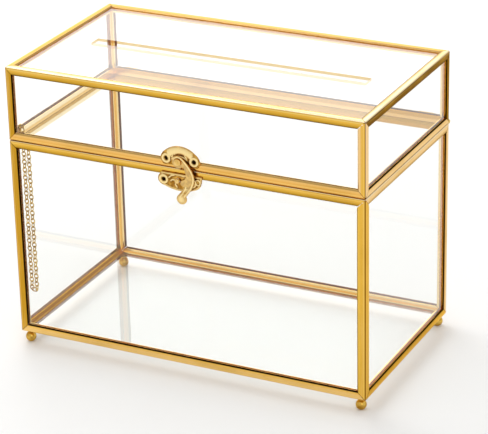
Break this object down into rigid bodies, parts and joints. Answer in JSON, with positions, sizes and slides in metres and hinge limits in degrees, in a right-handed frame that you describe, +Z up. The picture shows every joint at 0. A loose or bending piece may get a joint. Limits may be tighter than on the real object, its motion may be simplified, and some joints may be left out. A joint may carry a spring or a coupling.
{
  "type": "wedding card box",
  "caption": "Hinged glass box in a folded brass frame, with a card slot in the lid, a swing-hook clasp, ball feet and a chain that stops the lid.",
  "frame": {"origin": "centre of the footprint at the bottom of the ball feet, halfway between the hinge knuckles and the front of the clasp", "axes": "+X along the front to the right, +Y from the front to the hinges at the back, +Z up"},
  "size_m": [0.254, 0.1496, 0.1985],
  "materials": {
    "brass_frame": "polished",
    "cast_brass": "satin",
    "brass_wire": "polished",
    "clear_glass": "clear"
  },
  "bodies": {
    "base": {"base_post_front_left": "brass_frame", "base_post_front_right": "brass_frame", "base_post_rear_right": "brass_frame", "base_post_rear_left": "brass_frame", "base_bottom_rail_front": "brass_frame", "base_bottom_rail_rear": "brass_frame", "base_bottom_rail_left": "brass_frame", "base_bottom_rail_right": "brass_frame", "base_rim_rail_front": "brass_frame", "base_rim_rail_rear": "brass_frame", "base_rim_rail_left": "brass_frame", "base_rim_rail_right": "brass_frame", "base_pane_front": "clear_glass", "base_pane_rear": "clear_glass", "base_pane_left": "clear_glass", "base_pane_right": "clear_glass", "base_pane_bottom": "clear_glass", "foot_front_left": "brass_frame", "foot_front_right": "brass_frame", "foot_rear_right": "brass_frame", "foot_rear_left": "brass_frame", "hinge_base_leaf_left": "brass_frame", "hinge_pin_left": "brass_wire", "hinge_base_leaf_right": "brass_frame", "hinge_pin_right": "brass_wire", "clasp_base_plate": "cast_brass", "clasp_stud": "cast_brass", "chain_base_eye": "brass_wire"},
    "lid": {"lid_post_front_left": "brass_frame", "lid_post_front_right": "brass_frame", "lid_post_rear_right": "brass_frame", "lid_post_rear_left": "brass_frame", "lid_top_rail_front": "brass_frame", "lid_top_rail_rear": "brass_frame", "lid_top_rail_left": "brass_frame", "lid_top_rail_right": "brass_frame", "lid_rim_rail_front": "brass_frame", "lid_rim_rail_rear": "brass_frame", "lid_rim_rail_left": "brass_frame", "lid_rim_rail_right": "brass_frame", "lid_pane_front": "clear_glass", "lid_pane_rear": "clear_glass", "lid_pane_left": "clear_glass", "lid_pane_right": "clear_glass", "lid_pane_top": "clear_glass", "hinge_lid_leaf_left": "brass_frame", "hinge_lid_leaf_right": "brass_frame", "clasp_lid_plate": "cast_brass", "clasp_rivet": "cast_brass", "chain_lid_eye": "brass_wire"},
    "hook": {"clasp_hook": "cast_brass"},
    "chain_front": {"chain_base_run": "brass_wire", "chain_bottom_link": "brass_wire"},
    "chain_middle": {"chain_return_run": "brass_wire"},
    "chain_lid": {"chain_lid_run": "brass_wire"}
  },
  "joints": [
    {"name": "lid_hinge", "type": "hinge", "parent": "base", "child": "lid", "pos_m": [0, 0.0729, 0.1475], "axis": [-1, 0, 0], "range_deg": [0, 105]},
    {"name": "hook_pivot", "type": "hinge", "parent": "lid", "child": "hook", "pos_m": [-0.0006, -0.0711, 0.1529], "axis": [0, -1, 0], "range_deg": [0, 75]},
    {"name": "chain_base_swing", "type": "hinge", "parent": "base", "child": "chain_front", "pos_m": [-0.1172, -0.06145, 0.1415], "axis": [1, 0, 0], "range_deg": [0, 127.4]},
    {"name": "chain_loop_unfold", "type": "hinge", "parent": "chain_front", "child": "chain_middle", "pos_m": [-0.1209, -0.06145, 0.03736], "axis": [-1, 0, 0], "range_deg": [0, 180]},
    {"name": "chain_lid_swing", "type": "hinge", "parent": "lid", "child": "chain_lid", "pos_m": [-0.1209, -0.06145, 0.154], "axis": [1, 0, 0], "range_deg": [0, 52.4]}
  ],
  "couplings": [
    {"joint": "chain_base_swing", "follows": "lid_hinge", "ratio": 1.2133},
    {"joint": "chain_loop_unfold", "follows": "lid_hinge", "ratio": 1.7143},
    {"joint": "chain_lid_swing", "follows": "lid_hinge", "ratio": 0.49905}
  ]
}
